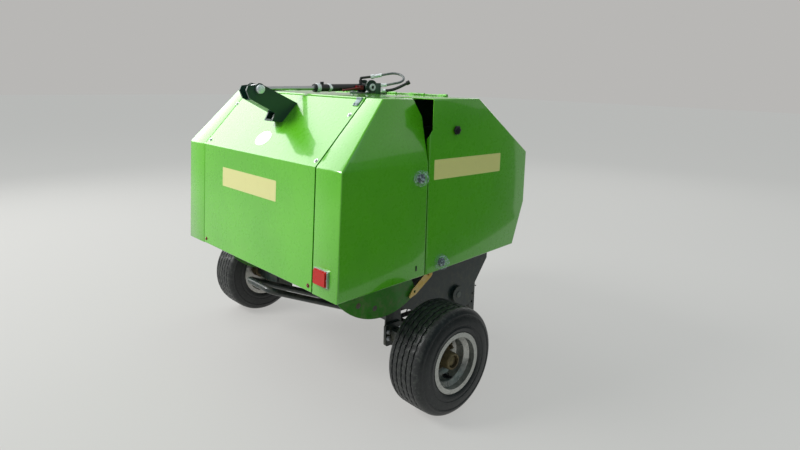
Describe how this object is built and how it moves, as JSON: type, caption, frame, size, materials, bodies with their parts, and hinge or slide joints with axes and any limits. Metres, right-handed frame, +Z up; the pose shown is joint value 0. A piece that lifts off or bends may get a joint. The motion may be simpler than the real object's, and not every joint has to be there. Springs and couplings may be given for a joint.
{
  "type": "round baler",
  "caption": "Small round baler on two wheels with a three-point hitch, tined pickup, roller chamber and a hinged rear gate worked by a hydraulic cylinder.",
  "frame": {"origin": "on the ground under the middle of the machine's bounding box", "axes": "+X to the machine's right, +Y forward to the tractor, +Z up"},
  "size_m": [1.53, 1.236, 1.235],
  "materials": {
    "green_paint": "gloss",
    "green_plate": "gloss",
    "dark_paint": "satin",
    "roller_steel": "worn",
    "zinc": "yellow passivated",
    "pin_steel": "satin",
    "rod_chrome": "polished",
    "barrel_black": "gloss",
    "reel_steel": "worn",
    "casting": "painted",
    "guard_plastic": "matt",
    "knob_plastic": "matt",
    "lamp_red": "gloss",
    "tyre": "matt",
    "rim_silver": "satin",
    "chain_steel": "oiled",
    "lever_red": "gloss",
    "hub_brown": "rusted"
  },
  "bodies": {
    "frame": {"side_frame_right": "dark_paint", "side_frame_left": "dark_paint", "under_beam": "dark_paint", "front_frame": "dark_paint", "hitch_pins": "pin_steel", "hood": "green_paint", "wrapper": "green_plate", "front_cover_right": "green_paint", "front_cover_left": "green_paint", "twine_box": "green_plate", "cylinder_lug": "dark_paint", "front_rollers": "roller_steel", "stripper_bands": "dark_paint", "crop_guard": "dark_paint", "gearbox": "casting", "drive_tube": "dark_paint", "drive_guard": "guard_plastic", "drive_chains": "chain_steel", "parking_legs": "dark_paint", "latch_hooks": "zinc", "front_knobs": "knob_plastic"},
    "gate": {"gate_panel": "green_paint", "gate_cover_right": "green_paint", "gate_cover_left": "green_paint", "gate_wall_right": "green_plate", "gate_wall_left": "green_plate", "gate_rollers": "roller_steel", "gate_arm": "dark_paint", "gate_knobs": "knob_plastic", "tail_lamp": "lamp_red"},
    "lid": {"twine_lid": "green_paint"},
    "barrel": {"cylinder_barrel": "barrel_black", "cylinder_valve": "lever_red"},
    "rod": {"cylinder_rod": "rod_chrome"},
    "kicker": {"kicker": "dark_paint"},
    "reel": {"pickup_reel": "reel_steel"},
    "drive": {"drive_shaft": "pin_steel"},
    "wheel_right": {"tyre_right": "tyre", "rim_right": "rim_silver", "hub_right": "hub_brown"},
    "wheel_left": {"tyre_left": "tyre", "rim_left": "rim_silver", "hub_left": "hub_brown"}
  },
  "joints": [
    {"name": "gate_hinge", "type": "hinge", "parent": "frame", "child": "gate", "pos_m": [0, -0.161, 1.13], "axis": [-1, 0, 0], "range_deg": [0, 60]},
    {"name": "barrel_swing", "type": "hinge", "parent": "frame", "child": "barrel", "pos_m": [0, 0.018, 1.202], "axis": [-1, 0, 0], "range_deg": [0, 60]},
    {"name": "rod_slide", "type": "slide", "parent": "barrel", "child": "rod", "axis": [0, 0.9999, 0.0156], "range_m": [0, 0.16]},
    {"name": "twine_lid_hinge", "type": "hinge", "parent": "frame", "child": "lid", "pos_m": [0, 0.133, 1.178], "axis": [1, 0, 0], "range_deg": [0, 80]},
    {"name": "kicker_hinge", "type": "hinge", "parent": "frame", "child": "kicker", "pos_m": [0, -0.156, 0.216], "axis": [1, 0, 0], "range_deg": [0, 45], "stiffness_Nm_per_rad": 60, "springref_deg": -34.38},
    {"name": "reel_spin", "type": "hinge", "parent": "frame", "child": "reel", "pos_m": [0, 0.223, 0.286], "axis": [1, 0, 0], "continuous": true},
    {"name": "drive_spin", "type": "hinge", "parent": "frame", "child": "drive", "pos_m": [0, 0.529, 0.64], "axis": [0, 1, 0], "continuous": true},
    {"name": "wheel_right_spin", "type": "hinge", "parent": "frame", "child": "wheel_right", "pos_m": [0.679, -0.171, 0.2085], "axis": [1, 0, 0], "continuous": true},
    {"name": "wheel_left_spin", "type": "hinge", "parent": "frame", "child": "wheel_left", "pos_m": [-0.679, -0.171, 0.2085], "axis": [1, 0, 0], "continuous": true}
  ],
  "couplings": [
    {"joint": "barrel_swing", "follows": "gate_hinge", "ratio": 0.73619},
    {"joint": "rod_slide", "follows": "gate_hinge", "m_per_rad": 0.12711}
  ]
}
